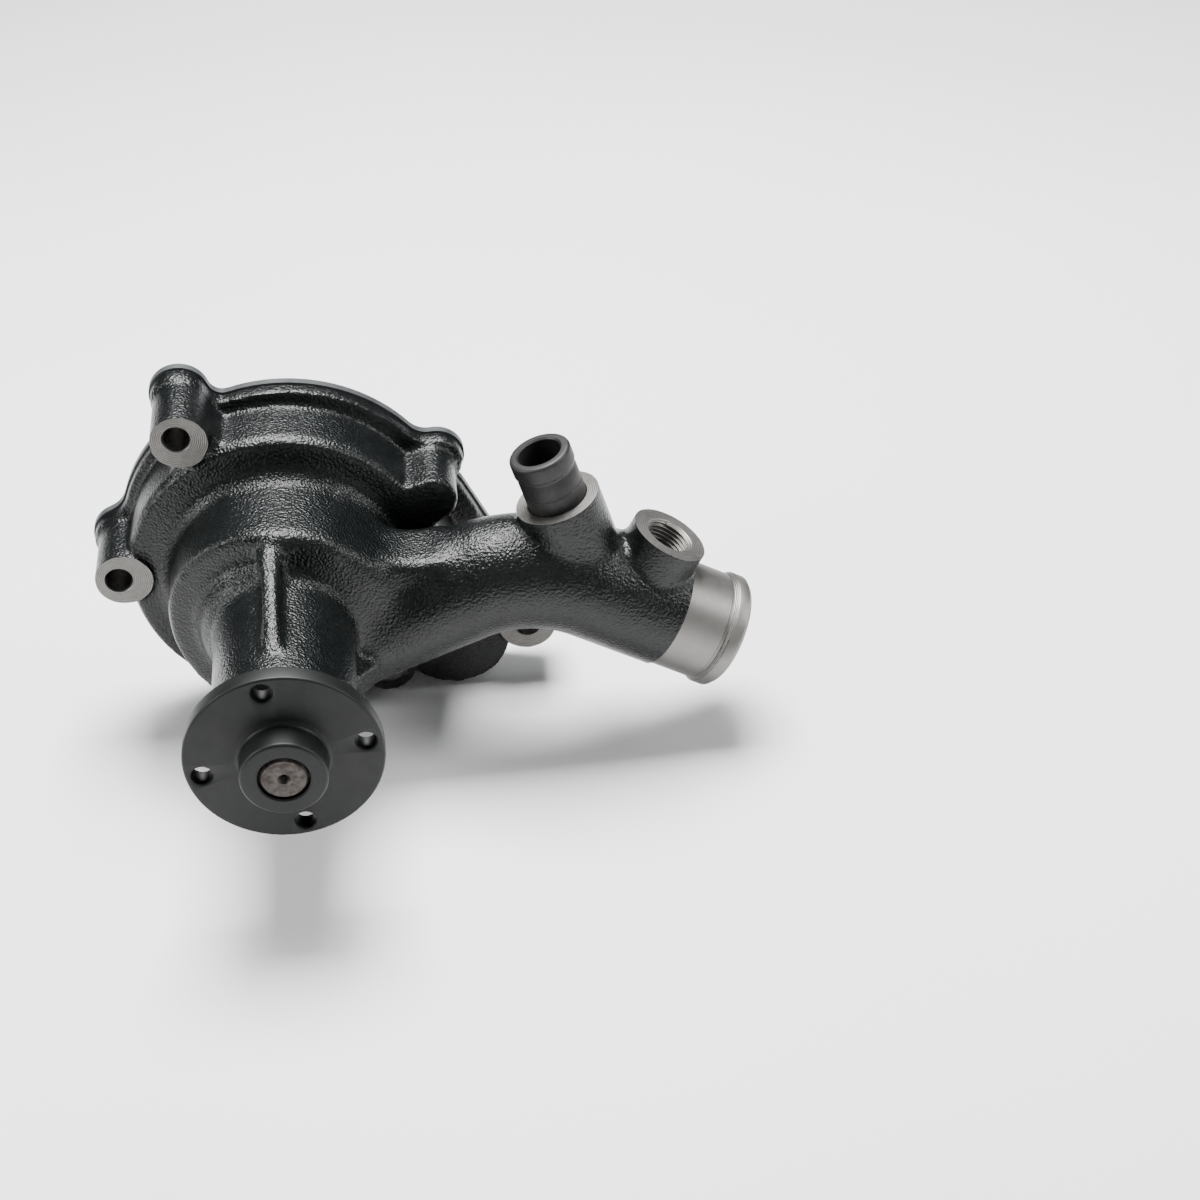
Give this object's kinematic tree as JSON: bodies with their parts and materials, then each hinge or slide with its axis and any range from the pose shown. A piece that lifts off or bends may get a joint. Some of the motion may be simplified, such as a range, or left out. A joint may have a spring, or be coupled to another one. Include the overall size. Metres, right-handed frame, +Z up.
{
  "type": "engine water pump",
  "caption": "Centrifugal engine coolant pump with a flanged drive hub, a cast housing with an S-shaped inlet pipe, a bypass tube, a sensor port and a flat rear mounting face.",
  "frame": {"origin": "where the shaft axis meets the rear face of the mounting gasket", "axes": "+Y along the shaft from the drive hub to the mounting face, +Z up, +X to the side of the inlet pipe"},
  "size_m": [0.2323, 0.1475, 0.1373],
  "materials": {
    "cast_black_paint": "glossy black paint over coarse sand-cast iron, machined faces bare",
    "steel_cover": "phosphated steel sheet",
    "gasket_paper": "compressed fibre gasket paper",
    "zinc_screw": "zinc-plated steel",
    "phosphate_tube": "dark phosphated steel",
    "spring_steel": "blued spring steel",
    "bearing_steel": "ground bearing steel",
    "ball_steel": "polished steel balls",
    "cage_polymer": "glass-filled nylon",
    "seal_rubber": "nitrile rubber",
    "black_oxide_hub": "black-oxide turned steel",
    "shaft_steel": "ground steel",
    "cast_impeller": "bare cast iron",
    "ceramic_ring": "lapped ceramic",
    "brass_shell": "drawn brass",
    "carbon": "lapped carbon graphite"
  },
  "bodies": {
    "pump_body": {"pump_housing": "cast_black_paint", "rear_cover": "steel_cover", "cover_gasket": "gasket_paper", "cover_screws": "zinc_screw", "mounting_gasket": "gasket_paper", "bypass_tube": "phosphate_tube", "bearing_circlip": "spring_steel", "bearing_outer_ring": "bearing_steel", "front_bearing_seal": "seal_rubber", "rear_bearing_seal": "seal_rubber", "seal_shell": "brass_shell", "seal_bellows": "seal_rubber", "seal_spring": "spring_steel"},
    "rotor": {"pump_shaft": "shaft_steel", "drive_hub": "black_oxide_hub", "slinger": "seal_rubber", "impeller": "cast_impeller", "mating_ring": "ceramic_ring", "mating_ring_boot": "seal_rubber"},
    "ball_sets": {"front_bearing_balls": "ball_steel", "rear_bearing_balls": "ball_steel", "front_ball_cage": "cage_polymer", "rear_ball_cage": "cage_polymer"},
    "seal_face": {"carbon_ring": "carbon"}
  },
  "joints": [
    {"name": "shaft_spin", "type": "hinge", "parent": "pump_body", "child": "rotor", "pos_m": [0, 0, 0], "axis": [0, 1, 0], "continuous": true},
    {"name": "ball_sets_spin", "type": "hinge", "parent": "pump_body", "child": "ball_sets", "pos_m": [0, 0, 0], "axis": [0, 1, 0], "continuous": true},
    {"name": "seal_face_float", "type": "slide", "parent": "pump_body", "child": "seal_face", "axis": [0, -1, 0], "range_m": [0, 0.0015], "deforming": ["seal_bellows", "seal_spring"]}
  ],
  "couplings": [
    {"joint": "ball_sets_spin", "follows": "shaft_spin", "ratio": 0.3324}
  ]
}
